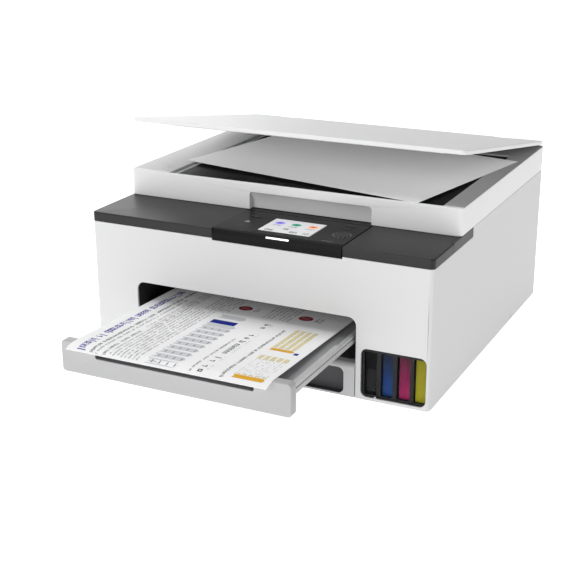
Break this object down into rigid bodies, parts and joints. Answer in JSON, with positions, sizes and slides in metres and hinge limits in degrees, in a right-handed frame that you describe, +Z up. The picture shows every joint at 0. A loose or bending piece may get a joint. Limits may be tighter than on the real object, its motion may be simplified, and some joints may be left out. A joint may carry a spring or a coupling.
{
  "type": "inkjet printer",
  "caption": "Desktop flatbed inkjet printer with refillable tanks, front cassette, pull-out output tray and tilting control panel.",
  "frame": {"origin": "centre of the bounding box's base on the table, with the tray pulled out and the lid part open", "axes": "+Z up, +X to the right seen from the front, -Y towards the user"},
  "size_m": [0.374, 0.527, 0.2369],
  "materials": {
    "case_white": "fine textured light grey-white moulding",
    "deck_black": "satin charcoal moulding",
    "dark_plastic": "dark inner moulding",
    "inner_grey": "grey inner moulding",
    "rubber": "matt rubber",
    "steel": "bright drawn steel",
    "sheet_steel": "plated sheet steel",
    "screw_steel": "plated screw",
    "smoked_window": "smoked clear acrylic",
    "clear_tank": "clear moulded tank",
    "ink_black": "liquid ink",
    "ink_cyan": "liquid ink",
    "ink_magenta": "liquid ink",
    "ink_yellow": "liquid ink",
    "cap_black": "soft cap",
    "cap_cyan": "soft cap",
    "cap_magenta": "soft cap",
    "cap_yellow": "soft cap",
    "acetal": "self-lubricating gear plastic",
    "brass": "cut brass",
    "roller_rubber": "grippy roller rubber",
    "engine_black": "glass-filled engine plastic",
    "circuit": "circuit board",
    "screen": "lit touch screen",
    "light_bar": "lit white light guide",
    "paper": "plain office paper",
    "glass": "scanner glass over a dark well",
    "pad_white": "white foam-backed pad"
  },
  "bodies": {
    "chassis": {"bottom_case": "dark_plastic", "outer_case": "case_white", "rear_panel": "case_white", "deck_left": "deck_black", "deck_right": "deck_black", "deck_side_cap": "deck_black", "panel_well": "dark_plastic", "inner_cover": "inner_grey", "bay_liner": "dark_plastic", "ink_window": "smoked_window", "ink_tanks": "clear_tank", "ink_black": "ink_black", "ink_cyan": "ink_cyan", "ink_magenta": "ink_magenta", "ink_yellow": "ink_yellow", "engine_frame": "sheet_steel", "carriage_rail": "steel", "platen": "engine_black", "drive_motors": "steel", "purge_unit": "engine_black", "power_supply": "engine_black", "main_board": "circuit", "rubber_feet": "rubber", "case_screws": "screw_steel", "paper_turn_guide": "engine_black"},
    "black_tank_cap": {"cap_black": "cap_black"},
    "cyan_tank_cap": {"cap_cyan": "cap_cyan"},
    "magenta_tank_cap": {"cap_magenta": "cap_magenta"},
    "yellow_tank_cap": {"cap_yellow": "cap_yellow"},
    "print_carriage": {"print_carriage": "engine_black", "print_heads": "inner_grey"},
    "feed_roller": {"feed_roller": "roller_rubber", "feed_gear": "acetal"},
    "idler_gear": {"idler_gear": "acetal"},
    "eject_roller": {"eject_roller": "roller_rubber"},
    "motor_pinion": {"motor_pinion": "brass"},
    "pickup_roller": {"pickup_roller": "roller_rubber"},
    "rear_access_cover": {"rear_access_cover": "case_white"},
    "output_tray": {"output_tray": "case_white", "tray_lip": "case_white"},
    "printed_sheet": {"printed_sheet": "paper"},
    "paper_cassette": {"cassette_bin": "inner_grey", "cassette_front": "case_white"},
    "side_guide_left": {"side_guide_left": "acetal"},
    "side_guide_right": {"side_guide_right": "acetal"},
    "control_panel": {"control_panel": "deck_black", "lcd_screen": "screen", "status_bar": "light_bar"},
    "power_button": {"power_button": "deck_black"},
    "stop_button": {"stop_button": "deck_black"},
    "black_start_button": {"black_start_button": "deck_black"},
    "colour_start_button": {"colour_start_button": "deck_black"},
    "scanner_unit": {"scanner_frame": "case_white", "scanner_base": "dark_plastic", "platen_glass": "glass"},
    "scan_carriage": {"scan_carriage": "engine_black"},
    "document_lid": {"lid_cover": "case_white", "lid_pad": "pad_white"},
    "original_sheet": {"original_sheet": "paper"}
  },
  "joints": [
    {"name": "scanner_hinge", "type": "hinge", "parent": "chassis", "child": "scanner_unit", "pos_m": [0, 0.2495, 0.1545], "axis": [-1, 0, 0], "range_deg": [0, 35]},
    {"name": "lid_hinge", "type": "hinge", "parent": "scanner_unit", "child": "document_lid", "pos_m": [0, 0.2541, 0.185], "axis": [-1, 0, 0], "range_deg": [-9.7, 60]},
    {"name": "panel_tilt", "type": "hinge", "parent": "chassis", "child": "control_panel", "pos_m": [0, -0.047, 0.149], "axis": [-1, 0, 0], "range_deg": [0, 40]},
    {"name": "power_button_press", "type": "slide", "parent": "control_panel", "child": "power_button", "axis": [0, 0, -1], "range_m": [0, 0.0006], "stiffness_N_per_m": 1200, "springref_m": -0.0002},
    {"name": "stop_button_press", "type": "slide", "parent": "control_panel", "child": "stop_button", "axis": [0, 0, -1], "range_m": [0, 0.0006], "stiffness_N_per_m": 1200, "springref_m": -0.0002},
    {"name": "black_start_button_press", "type": "slide", "parent": "control_panel", "child": "black_start_button", "axis": [0, 0, -1], "range_m": [0, 0.0006], "stiffness_N_per_m": 1200, "springref_m": -0.0002},
    {"name": "colour_start_button_press", "type": "slide", "parent": "control_panel", "child": "colour_start_button", "axis": [0, 0, -1], "range_m": [0, 0.0006], "stiffness_N_per_m": 1200, "springref_m": -0.0002},
    {"name": "tray_slide", "type": "slide", "parent": "chassis", "child": "output_tray", "axis": [0, 1, 0], "range_m": [0, 0.1345]},
    {"name": "printed_sheet_slide", "type": "slide", "parent": "output_tray", "child": "printed_sheet", "axis": [0, -0.9994, 0.0349], "range_m": [0, 0.15]},
    {"name": "cassette_slide", "type": "slide", "parent": "chassis", "child": "paper_cassette", "axis": [0, -1, 0], "range_m": [0, 0.22]},
    {"name": "left_guide_slide", "type": "slide", "parent": "paper_cassette", "child": "side_guide_left", "axis": [1, 0, 0], "range_m": [0, 0.05]},
    {"name": "right_guide_slide", "type": "slide", "parent": "paper_cassette", "child": "side_guide_right", "axis": [-1, 0, 0], "range_m": [0, 0.05]},
    {"name": "scan_carriage_slide", "type": "slide", "parent": "scanner_unit", "child": "scan_carriage", "axis": [1, 0, 0], "range_m": [0, 0.285]},
    {"name": "print_carriage_slide", "type": "slide", "parent": "chassis", "child": "print_carriage", "axis": [-1, 0, 0], "range_m": [0, 0.255]},
    {"name": "feed_spin", "type": "hinge", "parent": "chassis", "child": "feed_roller", "pos_m": [0, 0.1085, 0.083], "axis": [1, 0, 0], "continuous": true},
    {"name": "idler_spin", "type": "hinge", "parent": "chassis", "child": "idler_gear", "pos_m": [-0.1575, 0.0735, 0.083], "axis": [1, 0, 0], "continuous": true},
    {"name": "eject_spin", "type": "hinge", "parent": "chassis", "child": "eject_roller", "pos_m": [0, 0.0435, 0.083], "axis": [1, 0, 0], "continuous": true},
    {"name": "pinion_spin", "type": "hinge", "parent": "chassis", "child": "motor_pinion", "pos_m": [-0.1575, 0.12688, 0.06462], "axis": [1, 0, 0], "continuous": true},
    {"name": "pickup_spin", "type": "hinge", "parent": "chassis", "child": "pickup_roller", "pos_m": [0, 0.1755, 0.0485], "axis": [1, 0, 0], "continuous": true},
    {"name": "black_cap_hinge", "type": "hinge", "parent": "chassis", "child": "black_tank_cap", "pos_m": [0.12585, -0.0045, 0.1296], "axis": [-1, 0, 0], "range_deg": [0, 100]},
    {"name": "cyan_cap_hinge", "type": "hinge", "parent": "chassis", "child": "cyan_tank_cap", "pos_m": [0.14295, -0.0045, 0.1296], "axis": [-1, 0, 0], "range_deg": [0, 100]},
    {"name": "magenta_cap_hinge", "type": "hinge", "parent": "chassis", "child": "magenta_tank_cap", "pos_m": [0.15985, -0.0045, 0.1296], "axis": [-1, 0, 0], "range_deg": [0, 100]},
    {"name": "yellow_cap_hinge", "type": "hinge", "parent": "chassis", "child": "yellow_tank_cap", "pos_m": [0.17645, -0.0045, 0.1296], "axis": [-1, 0, 0], "range_deg": [0, 100]},
    {"name": "rear_cover_hinge", "type": "hinge", "parent": "chassis", "child": "rear_access_cover", "pos_m": [0, 0.2595, 0.047], "axis": [-1, 0, 0], "range_deg": [0, 60]},
    {"name": "original_sheet_slide", "type": "slide", "parent": "scanner_unit", "child": "original_sheet", "axis": [0, -1, 0], "range_m": [0, 0.15]}
  ],
  "couplings": [
    {"joint": "right_guide_slide", "follows": "left_guide_slide", "ratio": 1},
    {"joint": "pinion_spin", "follows": "feed_spin", "ratio": -3.3333},
    {"joint": "idler_spin", "follows": "feed_spin", "ratio": -1.3333},
    {"joint": "eject_spin", "follows": "feed_spin", "ratio": 1.3333}
  ]
}
